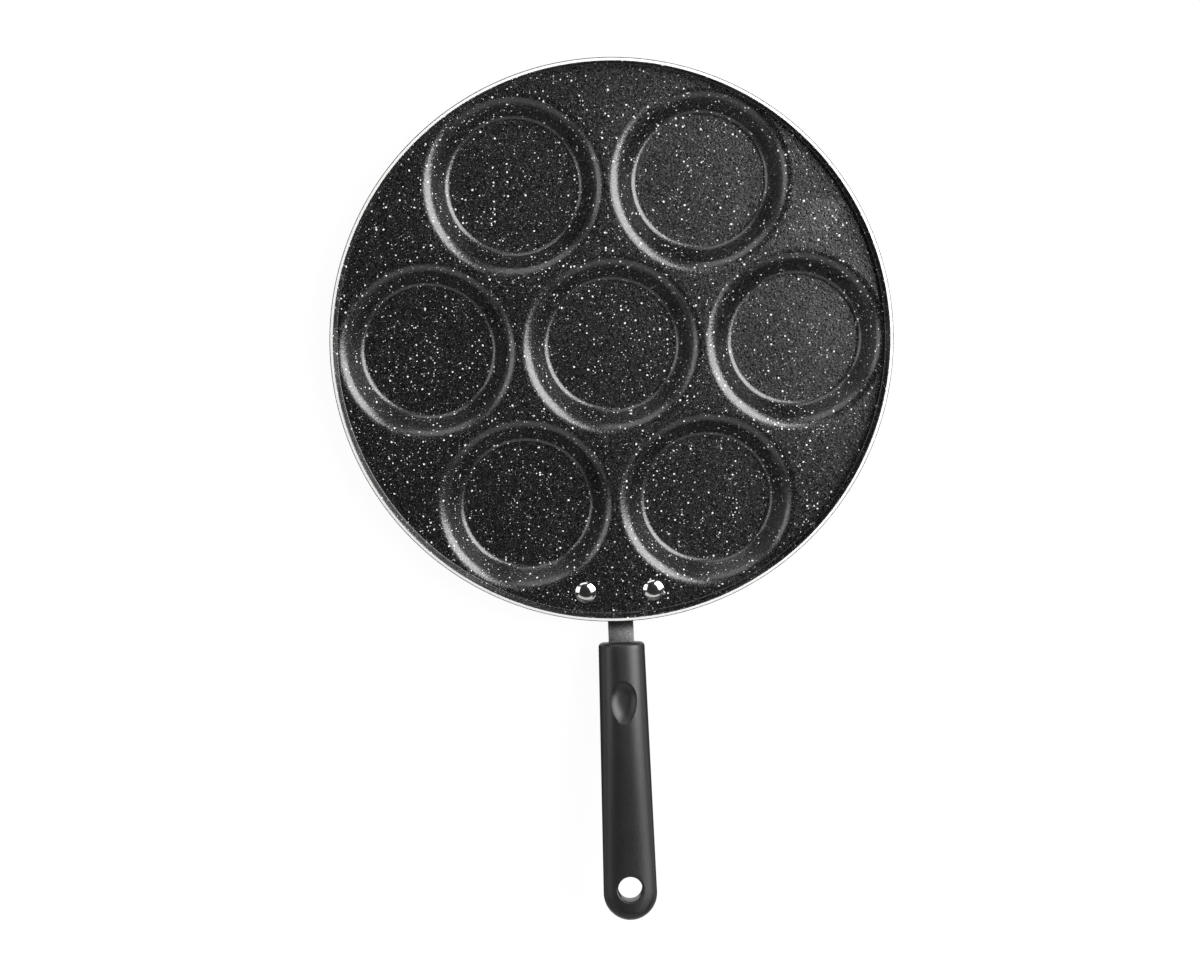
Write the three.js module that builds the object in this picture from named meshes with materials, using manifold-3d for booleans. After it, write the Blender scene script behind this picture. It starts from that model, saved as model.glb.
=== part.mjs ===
// Seven-cup egg pan: a pressed aluminium dish with a riveted bracket and a moulded grip.
// Millimetres, +Z up. Z is the axis of the dish, Z = 0 is the plane that the cups stand on,
// and the handle runs out along -Y.
import * as THREE from 'three';
import { mergeVertices } from 'three/addons/utils/BufferGeometryUtils.js';
import Module from 'manifold-3d';

const wasm = await Module();
wasm.setup();

const DEGREE = Math.PI / 180;

// Pressed sheet
const SHEET = 2.0; // thickness of the aluminium
const DECK_RISE = 7.8; // top of the rim above the deck between the cups
const RIM_ANGLE = 88 * DEGREE; // slope of the outer wall
const FOOT_FILLET = 0.8; // hollow corner between deck and outer wall

// Cups
const CUP_DEPTH = 9.5; // floor below the deck
const CUP_FLOOR_RADIUS = 30.4; // flat part of the floor
const CUP_WALL_ANGLE = 49 * DEGREE; // slope of the wall
const CUP_FLOOR_FILLET = 4.0; // hollow corner between floor and wall
const CUP_MOUTH_FILLET = 8.2; // round edge between wall and deck
const CUP_WEB = 0.8; // flat left between two neighbouring mouths
const MOUTH_INTO_FOOT = 1.5; // how far a mouth's round edge runs into the foot of the outer wall
const MOUTH_LEAST = 1.0; // least width of the round edge that is left beside that foot

// Rivets
const RIVET_HEAD_RADIUS = 5.2;
const RIVET_HEAD_ANGLE = 42 * DEGREE; // slope of the dome at its edge
const RIVET_SHANK_RADIUS = 2.5;
const RIVET_TAIL_RADIUS = 4.2;
const RIVET_TAIL_HEIGHT = 1.8;
const RIVET_TO_FOOT = 4.0; // from the head's edge to the foot of the outer wall

// Steel bracket
const STRAP_THICKNESS = 2.5;
const STRAP_WIDTH = 12.6;
const STRAP_BEND = 3.5; // length of each bend along the strap, on both sides of its corner
const EAR_RADIUS = 7.0; // flange around each rivet
const EAR_TO_CUP = 1.1; // from the flange to the mouth of the nearest cup
const NECK_FLARE = 5.0; // width of the curve that joins the flange to the strap
const STRAP_PAST_FOOT = 2.6; // straight run of the strap beyond the foot of the outer wall
const STRAP_BEFORE_GRIP = 5.5; // from the second bend to the grip's front face
const TANG_LENGTH = 42.0; // inside the grip

// Moulded grip, in its own frame: u along the grip, v across, w up
const GRIP_TILT = 12 * DEGREE;
const GRIP_LENGTH = 136.5;
const GRIP_GAP = 11.5; // from the rim to the front face
const GRIP_FRONT_ABOVE_FLANGE = 7.0; // middle of the front face above the middle of the flange
const GRIP_FRONT_WIDTH = 22.8;
const GRIP_END_WIDTH = 26.4;
const GRIP_FRONT_HEIGHT = 18.0;
const GRIP_END_HEIGHT = 10.6;
const GRIP_FRONT_ROUND = 3.0; // round edge of the front face
const GRIP_END_ROUND = 4.6; // round edge of the far end, seen from the side
const GRIP_SECTION_POWER = 2.5; // 2 is an ellipse, more is squarer

// Thumb dimple
const DIMPLE_FROM_FRONT = 27.4; // to its widest place
const DIMPLE_WIDTH = 13.8;
const DIMPLE_NEAR = 9.8; // towards the pan
const DIMPLE_FAR = 12.8; // towards the hanging hole
const DIMPLE_DEPTH = 2.6;
const DIMPLE_ROUND = 6.0; // half height of the egg that the dimple is scooped with

// Hanging hole
const HOLE_FROM_END = 15.6;
const HOLE_RADIUS = 6.0;
const HOLE_CHAMFER = 0.8;
const HOLE_CHAMFER_DEPTH = 1.3; // from the crown of the grip to where the chamfer meets the bore

// Screw and spring washer that hold the grip on the tang
const SCREW_FROM_TANG_END = 14.6;
const SCREW_RADIUS = 2.5;
const SCREW_HEAD_RADIUS = 4.6;
const SCREW_HEAD_HEIGHT = 2.6;
const SCREW_HEAD_EDGE = 0.9; // straight side of the head, above its dome
const SCREW_PAST_TANG = 1.0;
const SCREW_CROSS_WIDTH = 1.1;
const SCREW_CROSS_LENGTH = 5.0;
const SCREW_CROSS_DEPTH = 1.4;
const WASHER_RADIUS = 4.4;
const WASHER_HEIGHT = 1.2;
const WASHER_SPLIT = 1.0;
const WASHER_SPLIT_ANGLE = 30 * DEGREE; // slant of the split
const LEDGE = 2.0; // moulding left between the tang's pocket and the screw's recess

// Clearances
const SEAT = 0.3; // between faces that rest on each other
const SLIP = 0.3; // around a shank or tang in its hole
const RECESS_ROOM = 0.7; // around the screw head

// Fineness of the facets
const EDGE_STEPS = 6;
const SIDE_STEPS = 8;
const RIM_STEPS = 14;
const MOUTH_STEPS = 3;
const MOUTH_SHARE = 0.85; // most of the way to a cell's outline that the mouth's facets take
const FOOT_STEPS = 3;
const ROUND_STEPS = 32;
const SMALL_STEPS = 24;
const DOME_STEPS = 6;
const BEND_STEPS = 5;
const SECTION_STEPS = 32;
const GRIP_FRONT_STEPS = 3;
const GRIP_LENGTH_STEPS = 12;
const GRIP_END_STEPS = 9;
const MERGE_DISTANCE = 1e-4;
const SLOPE_STEP = 1e-3;

// Solids: closed geometry to manifold and back
function toSolid(geometry) {
  const bare = geometry.clone();
  bare.deleteAttribute('normal');
  bare.deleteAttribute('uv');
  const merged = mergeVertices(bare, MERGE_DISTANCE);
  const index = merged.index.array;
  const corners = [];
  for (let i = 0; i < index.length; i += 3) {
    const [a, b, c] = [index[i], index[i + 1], index[i + 2]];
    if (a !== b && b !== c && c !== a) corners.push(a, b, c);
  }
  return new wasm.Manifold(new wasm.Mesh({
    numProp: 3,
    vertProperties: new Float32Array(merged.attributes.position.array),
    triVerts: new Uint32Array(corners),
  }));
}

function toGeometry(solid) {
  const mesh = solid.getMesh();
  const geometry = new THREE.BufferGeometry();
  geometry.setAttribute('position', new THREE.BufferAttribute(new Float32Array(mesh.vertProperties), 3));
  geometry.setIndex(new THREE.BufferAttribute(new Uint32Array(mesh.triVerts), 1));
  geometry.computeVertexNormals();
  return geometry;
}

function cut(body, cutters) {
  return cutters.reduce((solid, cutter) => solid.subtract(toSolid(cutter)), toSolid(body));
}

// A profile of [radius, height] pairs turned about Z, listed from the bottom up
function revolve(profile, steps) {
  const points = profile.map(([radius, height]) => new THREE.Vector2(radius, height));
  return new THREE.LatheGeometry(points, steps).rotateX(Math.PI / 2);
}

function geometryFromTriangles(triangles) {
  const flat = triangles.flat().flatMap((point) => [point.x, point.y, point.z]);
  const geometry = new THREE.BufferGeometry();
  geometry.setAttribute('position', new THREE.BufferAttribute(new Float32Array(flat), 3));
  return mergeVertices(geometry, MERGE_DISTANCE);
}

// Two triangles for each step between two rows of points with the same count
function strip(inner, outer) {
  const triangles = [];
  for (let i = 0; i + 1 < inner.length; i += 1) {
    triangles.push([inner[i], outer[i], outer[i + 1]]);
    triangles.push([inner[i], outer[i + 1], inner[i + 1]]);
  }
  return triangles;
}

// Cup profile: flat floor, hollow corner, straight wall and round mouth
const floorFilletRun = CUP_FLOOR_FILLET * Math.sin(CUP_WALL_ANGLE);
const mouthFilletRun = CUP_MOUTH_FILLET * Math.sin(CUP_WALL_ANGLE);
const filletDrop = (CUP_FLOOR_FILLET + CUP_MOUTH_FILLET) * (1 - Math.cos(CUP_WALL_ANGLE));
const cupWallFoot = CUP_FLOOR_RADIUS + floorFilletRun;
const cupWallTop = cupWallFoot + (CUP_DEPTH - filletDrop) / Math.tan(CUP_WALL_ANGLE);
const mouthRadius = cupWallTop + mouthFilletRun;

function arcRise(radius, run) {
  return radius - Math.sqrt(radius * radius - run * run);
}

function cupDrop(radius) {
  if (radius <= CUP_FLOOR_RADIUS) return CUP_DEPTH;
  if (radius <= cupWallFoot) return CUP_DEPTH - arcRise(CUP_FLOOR_FILLET, radius - CUP_FLOOR_RADIUS);
  if (radius <= cupWallTop) {
    return arcRise(CUP_MOUTH_FILLET, mouthFilletRun) + (cupWallTop - radius) * Math.tan(CUP_WALL_ANGLE);
  }
  if (radius < mouthRadius) return arcRise(CUP_MOUTH_FILLET, mouthRadius - radius);
  return 0;
}

// Dish: cups on a hexagonal pitch inside an outer wall
const pitch = 2 * mouthRadius + CUP_WEB;
const deckTop = SHEET + CUP_DEPTH;
const footRadius = pitch + mouthRadius - MOUTH_INTO_FOOT;
const footRun = FOOT_FILLET * Math.sin(RIM_ANGLE);
const footRise = FOOT_FILLET * (1 - Math.cos(RIM_ANGLE));
const rimInside = footRadius + footRun + (DECK_RISE - footRise) / Math.tan(RIM_ANGLE);
const rimRadius = rimInside + SHEET * Math.sin(RIM_ANGLE);
const cupTurns = [0, 60, 120, 180, 240, 300].map((turn) => turn * DEGREE);
const axis = new THREE.Vector2(0, 0);
const cupCentres = cupTurns.map((turn) => new THREE.Vector2(pitch, 0).rotateAround(axis, turn));
cupCentres.push(axis);

function wallRise(radius) {
  const run = radius - footRadius;
  if (run <= 0) return 0;
  if (run <= footRun) return arcRise(FOOT_FILLET, run);
  return footRise + (run - footRun) * Math.tan(RIM_ANGLE);
}

// Height of the upper face, with the cups pressed down from the deck and the outer wall turned up from it
function panHeight(x, y) {
  const toCup = Math.min(...cupCentres.map((centre) => Math.hypot(x - centre.x, y - centre.y)));
  return deckTop - cupDrop(toCup) + wallRise(Math.hypot(x, y));
}

function upperPoint(plan) {
  return new THREE.Vector3(plan.x, plan.y, panHeight(plan.x, plan.y));
}

// The lower face lies one sheet thickness below the upper one, square to it
function lowerPoint(plan) {
  const { x, y } = plan;
  const slopeX = (panHeight(x + SLOPE_STEP, y) - panHeight(x - SLOPE_STEP, y)) / (2 * SLOPE_STEP);
  const slopeY = (panHeight(x, y + SLOPE_STEP) - panHeight(x, y - SLOPE_STEP)) / (2 * SLOPE_STEP);
  const normal = new THREE.Vector3(-slopeX, -slopeY, 1).normalize();
  return upperPoint(plan).addScaledVector(normal, -SHEET);
}

// Each cup owns a cell of the plan. Rays from the cup's centre reach to the cell's outline.
function angleSteps(from, to, count) {
  return Array.from({ length: count }, (_, i) => from + ((to - from) * i) / count);
}

const edgeHalf = 30 * DEGREE;
const sideEnd = 180 * DEGREE - edgeHalf;
const footCorner = Math.atan2(footRadius * Math.sin(edgeHalf), footRadius * Math.cos(edgeHalf) - pitch);
const fullTurn = 360 * DEGREE;
const outerAngles = [
  ...angleSteps(-footCorner, footCorner, RIM_STEPS),
  ...angleSteps(footCorner, sideEnd, SIDE_STEPS),
  ...angleSteps(sideEnd, fullTurn - sideEnd, EDGE_STEPS),
  ...angleSteps(fullTurn - sideEnd, fullTurn - footCorner, SIDE_STEPS),
  fullTurn - footCorner,
];
const middleAngles = [
  ...angleSteps(-edgeHalf, fullTurn - edgeHalf, 6 * EDGE_STEPS),
  fullTurn - edgeHalf,
];

function reachOfMiddle(angle) {
  const fromEdge = angle - Math.round(angle / (2 * edgeHalf)) * 2 * edgeHalf;
  return pitch / 2 / Math.cos(fromEdge);
}

function reachOfOuter(angle) {
  const turn = Math.abs(Math.atan2(Math.sin(angle), Math.cos(angle)));
  if (turn <= footCorner + SLOPE_STEP) {
    return Math.sqrt(footRadius ** 2 - (pitch * Math.sin(turn)) ** 2) - pitch * Math.cos(turn);
  }
  const edge = turn <= sideEnd ? 120 * DEGREE : 180 * DEGREE;
  return pitch / 2 / Math.cos(turn - edge);
}

// Distances along one ray at which the profile changes, ending on the cell's outline
function rayStations(reach) {
  const wallTop = Math.min(cupWallTop, reach - MOUTH_LEAST);
  const mouthEnd = Math.min(mouthRadius, wallTop + (reach - wallTop) * MOUTH_SHARE);
  const mouth = Array.from({ length: MOUTH_STEPS }, (_, i) => (
    wallTop + ((mouthEnd - wallTop) * (i + 1)) / MOUTH_STEPS
  ));
  return [CUP_FLOOR_RADIUS, (CUP_FLOOR_RADIUS + cupWallFoot) / 2, cupWallFoot, wallTop, ...mouth, reach];
}

// Rows of plan points around one cup, from its floor to the cell's outline
function cellRows(centre, turn, angles, reachOf) {
  const rays = angles.map((angle) => {
    const along = new THREE.Vector2(Math.cos(angle + turn), Math.sin(angle + turn));
    return rayStations(reachOf(angle)).map((distance) => centre.clone().addScaledVector(along, distance));
  });
  return rays[0].map((_, row) => rays.map((ray) => ray[row]));
}

function cellTriangles(centre, rows) {
  const floor = rows[0].slice(1).map((point, i) => [centre, rows[0][i], point]);
  return rows.slice(1).reduce((all, row, i) => all.concat(strip(rows[i], row)), floor);
}

// Distances from the dish's axis at which the outer wall is faceted, from its foot to the rim
const wallStations = [
  ...Array.from({ length: FOOT_STEPS }, (_, i) => (
    footRadius + FOOT_FILLET * Math.sin((RIM_ANGLE * (i + 1)) / FOOT_STEPS)
  )),
  rimInside,
];

function panBlank() {
  const plan = cellTriangles(axis, cellRows(axis, 0, middleAngles, reachOfMiddle));
  const rim = [];
  cupTurns.forEach((turn, cup) => {
    const rows = cellRows(cupCentres[cup], turn, outerAngles, reachOfOuter);
    plan.push(...cellTriangles(cupCentres[cup], rows));
    let band = rows[rows.length - 1].slice(0, RIM_STEPS + 1);
    wallStations.forEach((radius) => {
      const next = band.map((point) => point.clone().setLength(radius));
      plan.push(...strip(band, next));
      band = next;
    });
    rim.push(...strip(band.map(upperPoint), band.map(lowerPoint)));
  });
  const upper = plan.map((corners) => corners.map(upperPoint));
  const lower = plan.map(([a, b, c]) => [lowerPoint(a), lowerPoint(c), lowerPoint(b)]);
  return geometryFromTriangles([...upper, ...lower, ...rim]);
}

// Rivet places: on the deck just inside the foot of the outer wall, as far apart as the two cups
// beside the handle allow. Each lies at known distances from the dish's axis and from its cup's.
const rivetCircle = footRadius - RIVET_TO_FOOT - RIVET_HEAD_RADIUS;
const rivetToCup = mouthRadius + EAR_TO_CUP + EAR_RADIUS;
const cupToRivet = Math.acos((pitch ** 2 + rivetCircle ** 2 - rivetToCup ** 2) / (2 * pitch * rivetCircle));
const rivetTurn = edgeHalf - cupToRivet;
const rivetX = rivetCircle * Math.sin(rivetTurn);
const rivetY = -rivetCircle * Math.cos(rivetTurn);
const flangeTop = deckTop - SHEET - SEAT;
const flangeMiddle = flangeTop - STRAP_THICKNESS / 2;
const flangeBottom = flangeTop - STRAP_THICKNESS;

function rivetHole(side) {
  const hole = new THREE.CylinderGeometry(
    RIVET_SHANK_RADIUS + SLIP,
    RIVET_SHANK_RADIUS + SLIP,
    2 * deckTop,
    SMALL_STEPS,
  );
  return hole.rotateX(Math.PI / 2).translate(side * rivetX, rivetY, deckTop);
}

const panBody = toGeometry(cut(panBlank(), [rivetHole(-1), rivetHole(1)]));

// Rivet: domed head in the pan, shank through sheet and flange, upset tail below
function rivet(side) {
  const dome = RIVET_HEAD_RADIUS / Math.sin(RIVET_HEAD_ANGLE);
  const headBase = deckTop + SEAT;
  const tailTop = flangeBottom - SEAT;
  const tailRound = RIVET_TAIL_HEIGHT / 2;
  const head = Array.from({ length: DOME_STEPS + 1 }, (_, i) => {
    const slope = RIVET_HEAD_ANGLE * (1 - i / DOME_STEPS);
    return [dome * Math.sin(slope), headBase + dome * (Math.cos(slope) - Math.cos(RIVET_HEAD_ANGLE))];
  });
  const profile = [
    [0, tailTop - RIVET_TAIL_HEIGHT],
    [RIVET_TAIL_RADIUS - tailRound, tailTop - RIVET_TAIL_HEIGHT],
    [RIVET_TAIL_RADIUS, tailTop - tailRound],
    [RIVET_TAIL_RADIUS, tailTop],
    [RIVET_SHANK_RADIUS, tailTop],
    [RIVET_SHANK_RADIUS, headBase],
    ...head,
  ];
  const turned = revolve(profile, SMALL_STEPS).translate(side * rivetX, rivetY, 0);
  return toGeometry(toSolid(turned));
}

// Place of the grip: its front face stands off the rim, and its middle line climbs away from the pan
const gripFrontY = -(rimRadius + GRIP_GAP);
const gripFrontZ = flangeMiddle + GRIP_FRONT_ABOVE_FLANGE;
const gripFrame = new THREE.Matrix4().makeBasis(
  new THREE.Vector3(0, -Math.cos(GRIP_TILT), Math.sin(GRIP_TILT)),
  new THREE.Vector3(1, 0, 0),
  new THREE.Vector3(0, Math.sin(GRIP_TILT), Math.cos(GRIP_TILT)),
).setPosition(0, gripFrontY, gripFrontZ);

function onGripLine(u) {
  return new THREE.Vector2(gripFrontY - u * Math.cos(GRIP_TILT), gripFrontZ + u * Math.sin(GRIP_TILT));
}

// Bracket: a flange under the deck and a strap that bends up past the rim and into the grip
function strapGeometry() {
  const corners = [
    new THREE.Vector2(rivetY, flangeMiddle),
    new THREE.Vector2(-(footRadius + STRAP_PAST_FOOT), flangeMiddle),
    onGripLine(-STRAP_BEFORE_GRIP),
    onGripLine(TANG_LENGTH),
  ];
  const path = new THREE.CurvePath();
  let from = corners[0];
  corners.slice(1, -1).forEach((corner, i) => {
    const towards = (end) => corner.clone().add(end.clone().sub(corner).setLength(STRAP_BEND));
    const bendStart = towards(corners[i]);
    const bendEnd = towards(corners[i + 2]);
    path.add(new THREE.LineCurve(from, bendStart));
    path.add(new THREE.QuadraticBezierCurve(bendStart, corner, bendEnd));
    from = bendEnd;
  });
  path.add(new THREE.LineCurve(from, corners[3]));
  const side = (offset) => path.curves.flatMap((curve) => {
    const count = curve.isLineCurve ? 1 : BEND_STEPS;
    return Array.from({ length: count + 1 }, (_, i) => {
      const along = curve.getTangent(i / count);
      return curve.getPoint(i / count).add(new THREE.Vector2(-along.y, along.x).multiplyScalar(offset));
    });
  });
  const outline = [...side(STRAP_THICKNESS / 2), ...side(-STRAP_THICKNESS / 2).reverse()];
  const spaced = outline.filter((point, i) => i === 0 || point.distanceTo(outline[i - 1]) > SLOPE_STEP);
  const options = { depth: STRAP_WIDTH, bevelEnabled: false };
  const strap = new THREE.ExtrudeGeometry(new THREE.Shape(spaced), options);
  const upright = new THREE.Matrix4().makeBasis(
    new THREE.Vector3(0, 1, 0),
    new THREE.Vector3(0, 0, 1),
    new THREE.Vector3(1, 0, 0),
  ).setPosition(-STRAP_WIDTH / 2, 0, 0);
  return strap.applyMatrix4(upright);
}

function flangeGeometry() {
  const inside = rivetY + EAR_RADIUS;
  const outside = rivetY - EAR_RADIUS;
  const neck = STRAP_WIDTH / 2;
  const flare = neck + Math.min(NECK_FLARE, rivetX - neck);
  const outline = new THREE.Shape();
  outline.moveTo(rivetX, inside);
  outline.lineTo(-rivetX, inside);
  outline.absarc(-rivetX, rivetY, EAR_RADIUS, 90 * DEGREE, 270 * DEGREE, false);
  outline.lineTo(-flare, outside);
  outline.quadraticCurveTo(-neck, outside, -neck, outside - STRAP_PAST_FOOT);
  outline.lineTo(neck, outside - STRAP_PAST_FOOT);
  outline.quadraticCurveTo(neck, outside, flare, outside);
  outline.lineTo(rivetX, outside);
  outline.absarc(rivetX, rivetY, EAR_RADIUS, -90 * DEGREE, 90 * DEGREE, false);
  const options = { depth: STRAP_THICKNESS, bevelEnabled: false, curveSegments: 10 };
  return new THREE.ExtrudeGeometry(outline, options).translate(0, 0, flangeBottom);
}

const screwFromFront = TANG_LENGTH - SCREW_FROM_TANG_END;

function screwHole(radius) {
  const hole = new THREE.CylinderGeometry(radius, radius, 2 * GRIP_FRONT_HEIGHT, SMALL_STEPS);
  return hole.rotateX(Math.PI / 2).translate(screwFromFront, 0, 0);
}

const bracketBlank = toGeometry(toSolid(strapGeometry()).add(toSolid(flangeGeometry())));
const tangHole = screwHole(SCREW_RADIUS + SLIP).applyMatrix4(gripFrame);
const bracket = toGeometry(cut(bracketBlank, [rivetHole(-1), rivetHole(1), tangHole]));

// Grip: rounded sections lofted from the front face to the round far end
const gripEndRadius = GRIP_END_WIDTH / 2;

function smooth(from, to, value) {
  const share = Math.min(1, Math.max(0, (value - from) / (to - from)));
  return share * share * (3 - 2 * share);
}

function roundedEnd(radius, distance) {
  const run = Math.max(0, radius - distance);
  return radius - Math.sqrt(radius * radius - run * run);
}

function gripHalfWidth(u) {
  const endCentre = GRIP_LENGTH - gripEndRadius;
  if (u > endCentre) return Math.sqrt(Math.max(0, gripEndRadius ** 2 - (u - endCentre) ** 2));
  const straight = (GRIP_FRONT_WIDTH + ((GRIP_END_WIDTH - GRIP_FRONT_WIDTH) * u) / endCentre) / 2;
  return straight - roundedEnd(GRIP_FRONT_ROUND, u);
}

function gripHalfHeight(u) {
  const taper = smooth(TANG_LENGTH / 2, GRIP_LENGTH - HOLE_FROM_END, u);
  const straight = (GRIP_FRONT_HEIGHT + (GRIP_END_HEIGHT - GRIP_FRONT_HEIGHT) * taper) / 2;
  return straight - roundedEnd(GRIP_FRONT_ROUND, u) - roundedEnd(GRIP_END_ROUND, GRIP_LENGTH - u);
}

function gripSection(u) {
  const bulge = (value) => Math.sign(value) * Math.abs(value) ** (2 / GRIP_SECTION_POWER);
  const halfWidth = gripHalfWidth(u);
  const halfHeight = gripHalfHeight(u);
  return Array.from({ length: SECTION_STEPS + 1 }, (_, i) => {
    const turn = (fullTurn * (i % SECTION_STEPS)) / SECTION_STEPS;
    return new THREE.Vector3(u, halfWidth * bulge(Math.cos(turn)), halfHeight * bulge(Math.sin(turn)));
  });
}

function gripBlank() {
  const quarter = 90 * DEGREE;
  const front = Array.from({ length: GRIP_FRONT_STEPS + 1 }, (_, i) => (
    GRIP_FRONT_ROUND * (1 - Math.cos((i * quarter) / GRIP_FRONT_STEPS))
  ));
  const endCentre = GRIP_LENGTH - gripEndRadius;
  const length = Array.from({ length: GRIP_LENGTH_STEPS }, (_, i) => (
    GRIP_FRONT_ROUND + ((endCentre - GRIP_FRONT_ROUND) * (i + 1)) / GRIP_LENGTH_STEPS
  ));
  const far = Array.from({ length: GRIP_END_STEPS }, (_, i) => (
    endCentre + gripEndRadius * Math.sin(((i + 1) * quarter) / (GRIP_END_STEPS + 1))
  ));
  const sections = [...front, ...length, ...far].map(gripSection);
  const triangles = [];
  sections.slice(1).forEach((section, i) => triangles.push(...strip(section, sections[i])));
  const first = sections[0];
  const last = sections[sections.length - 1];
  const frontMiddle = new THREE.Vector3(0, 0, 0);
  const endMiddle = new THREE.Vector3(GRIP_LENGTH, 0, 0);
  for (let i = 0; i < SECTION_STEPS; i += 1) {
    triangles.push([frontMiddle, first[i + 1], first[i]]);
    triangles.push([endMiddle, last[i], last[i + 1]]);
  }
  return geometryFromTriangles(triangles);
}

// An egg whose blunt end points to the pan, set so that it scoops the dimple's outline out of the top
function dimpleCutter() {
  const top = GRIP_FRONT_HEIGHT / 2;
  const egg = new THREE.SphereGeometry(1, ROUND_STEPS, ROUND_STEPS / 2);
  const spread = 1 / Math.sqrt(1 - (1 - DIMPLE_DEPTH / DIMPLE_ROUND) ** 2);
  const place = egg.attributes.position;
  for (let i = 0; i < place.count; i += 1) {
    const along = place.getX(i) * (place.getX(i) < 0 ? DIMPLE_NEAR : DIMPLE_FAR) * spread;
    const across = (place.getY(i) * DIMPLE_WIDTH * spread) / 2;
    place.setXYZ(i, along, across, place.getZ(i) * DIMPLE_ROUND);
  }
  return egg.translate(DIMPLE_FROM_FRONT, 0, top - DIMPLE_DEPTH + DIMPLE_ROUND);
}

function hangingHole() {
  const half = gripHalfHeight(GRIP_LENGTH - HOLE_FROM_END);
  const mouth = HOLE_RADIUS + HOLE_CHAMFER;
  const profile = [
    [0, -2 * half],
    [mouth, -2 * half],
    [mouth, HOLE_CHAMFER_DEPTH - half - HOLE_CHAMFER],
    [HOLE_RADIUS, HOLE_CHAMFER_DEPTH - half],
    [HOLE_RADIUS, half - HOLE_CHAMFER_DEPTH],
    [mouth, half - HOLE_CHAMFER_DEPTH + HOLE_CHAMFER],
    [mouth, 2 * half],
    [0, 2 * half],
  ];
  return revolve(profile, ROUND_STEPS).translate(GRIP_LENGTH - HOLE_FROM_END, 0, 0);
}

const pocketHalf = STRAP_THICKNESS / 2 + SLIP;
const ledgeBottom = -pocketHalf - LEDGE;

// The pocket's box is centred on the front face, so half of it lies in the grip
function tangPocket() {
  return new THREE.BoxGeometry(2 * (TANG_LENGTH + SLIP), STRAP_WIDTH + 2 * SLIP, 2 * pocketHalf);
}

function screwRecess() {
  const radius = SCREW_HEAD_RADIUS + RECESS_ROOM;
  const recess = new THREE.CylinderGeometry(radius, radius, GRIP_FRONT_HEIGHT, SMALL_STEPS);
  return recess.rotateX(Math.PI / 2).translate(screwFromFront, 0, ledgeBottom - GRIP_FRONT_HEIGHT / 2);
}

function screwPassage() {
  const radius = SCREW_RADIUS + SLIP;
  const top = pocketHalf + SCREW_PAST_TANG + SEAT;
  const bottom = ledgeBottom - LEDGE;
  const passage = new THREE.CylinderGeometry(radius, radius, top - bottom, SMALL_STEPS);
  return passage.rotateX(Math.PI / 2).translate(screwFromFront, 0, (top + bottom) / 2);
}

const gripCuts = [dimpleCutter(), hangingHole(), tangPocket(), screwRecess(), screwPassage()];
const grip = toGeometry(cut(gripBlank(), gripCuts)).applyMatrix4(gripFrame);

// Screw: low domed head with a cross recess, and a shank up into the tang
const washerTop = ledgeBottom - SEAT;
const headTop = washerTop - WASHER_HEIGHT - SEAT;

function screwGeometry() {
  const bottom = headTop - SCREW_HEAD_HEIGHT;
  const dome = Array.from({ length: DOME_STEPS + 1 }, (_, i) => {
    const turn = (90 * DEGREE * i) / DOME_STEPS;
    return [
      SCREW_HEAD_RADIUS * Math.sin(turn),
      bottom + (SCREW_HEAD_HEIGHT - SCREW_HEAD_EDGE) * (1 - Math.cos(turn)),
    ];
  });
  const profile = [
    ...dome,
    [SCREW_HEAD_RADIUS, headTop],
    [SCREW_RADIUS, headTop],
    [SCREW_RADIUS, STRAP_THICKNESS / 2 + SCREW_PAST_TANG],
    [0, STRAP_THICKNESS / 2 + SCREW_PAST_TANG],
  ];
  const slot = (turn) => new THREE.BoxGeometry(SCREW_CROSS_LENGTH, SCREW_CROSS_WIDTH, 2 * SCREW_CROSS_DEPTH)
    .rotateZ(turn)
    .translate(0, 0, bottom);
  const solid = cut(revolve(profile, SMALL_STEPS), [slot(0), slot(90 * DEGREE)]);
  return toGeometry(solid).translate(screwFromFront, 0, 0).applyMatrix4(gripFrame);
}

// Spring washer: a flat ring with one slanting split
function washerGeometry() {
  const profile = [
    [SCREW_RADIUS + SLIP, washerTop - WASHER_HEIGHT],
    [WASHER_RADIUS, washerTop - WASHER_HEIGHT],
    [WASHER_RADIUS, washerTop],
    [SCREW_RADIUS + SLIP, washerTop],
    [SCREW_RADIUS + SLIP, washerTop - WASHER_HEIGHT],
  ];
  const split = new THREE.BoxGeometry(2 * WASHER_RADIUS, WASHER_SPLIT, 4 * WASHER_HEIGHT)
    .rotateX(WASHER_SPLIT_ANGLE)
    .translate(WASHER_RADIUS, 0, washerTop - WASHER_HEIGHT / 2);
  const solid = cut(revolve(profile, SMALL_STEPS), [split]);
  return toGeometry(solid).translate(screwFromFront, 0, 0).applyMatrix4(gripFrame);
}

// Materials and the finished object
function piece(name, geometry, colour, roughness, metalness) {
  const material = new THREE.MeshStandardMaterial({ color: colour, roughness, metalness });
  const mesh = new THREE.Mesh(geometry, material);
  mesh.name = name;
  return mesh;
}

const eggPan = new THREE.Group();
eggPan.add(piece('pan_body', panBody, 0x3a3a3b, 0.45, 0.0));
eggPan.add(piece('handle_bracket', bracket, 0x6b6b6a, 0.5, 1.0));
eggPan.add(piece('rivet_left', rivet(-1), 0xd9d9d6, 0.12, 1.0));
eggPan.add(piece('rivet_right', rivet(1), 0xd9d9d6, 0.12, 1.0));
eggPan.add(piece('handle_grip', grip, 0x2b2b2c, 0.45, 0.0));
eggPan.add(piece('handle_screw', screwGeometry(), 0xb8b8b4, 0.3, 1.0));
eggPan.add(piece('spring_washer', washerGeometry(), 0x9a9a97, 0.35, 1.0));

export default eggPan;
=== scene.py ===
# Seven-cup egg pan: the finished look of its dish, rivets, bracket, grip, screw and washer.
import math

import bmesh
import bpy
from mathutils import Euler, Matrix, Vector


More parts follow.
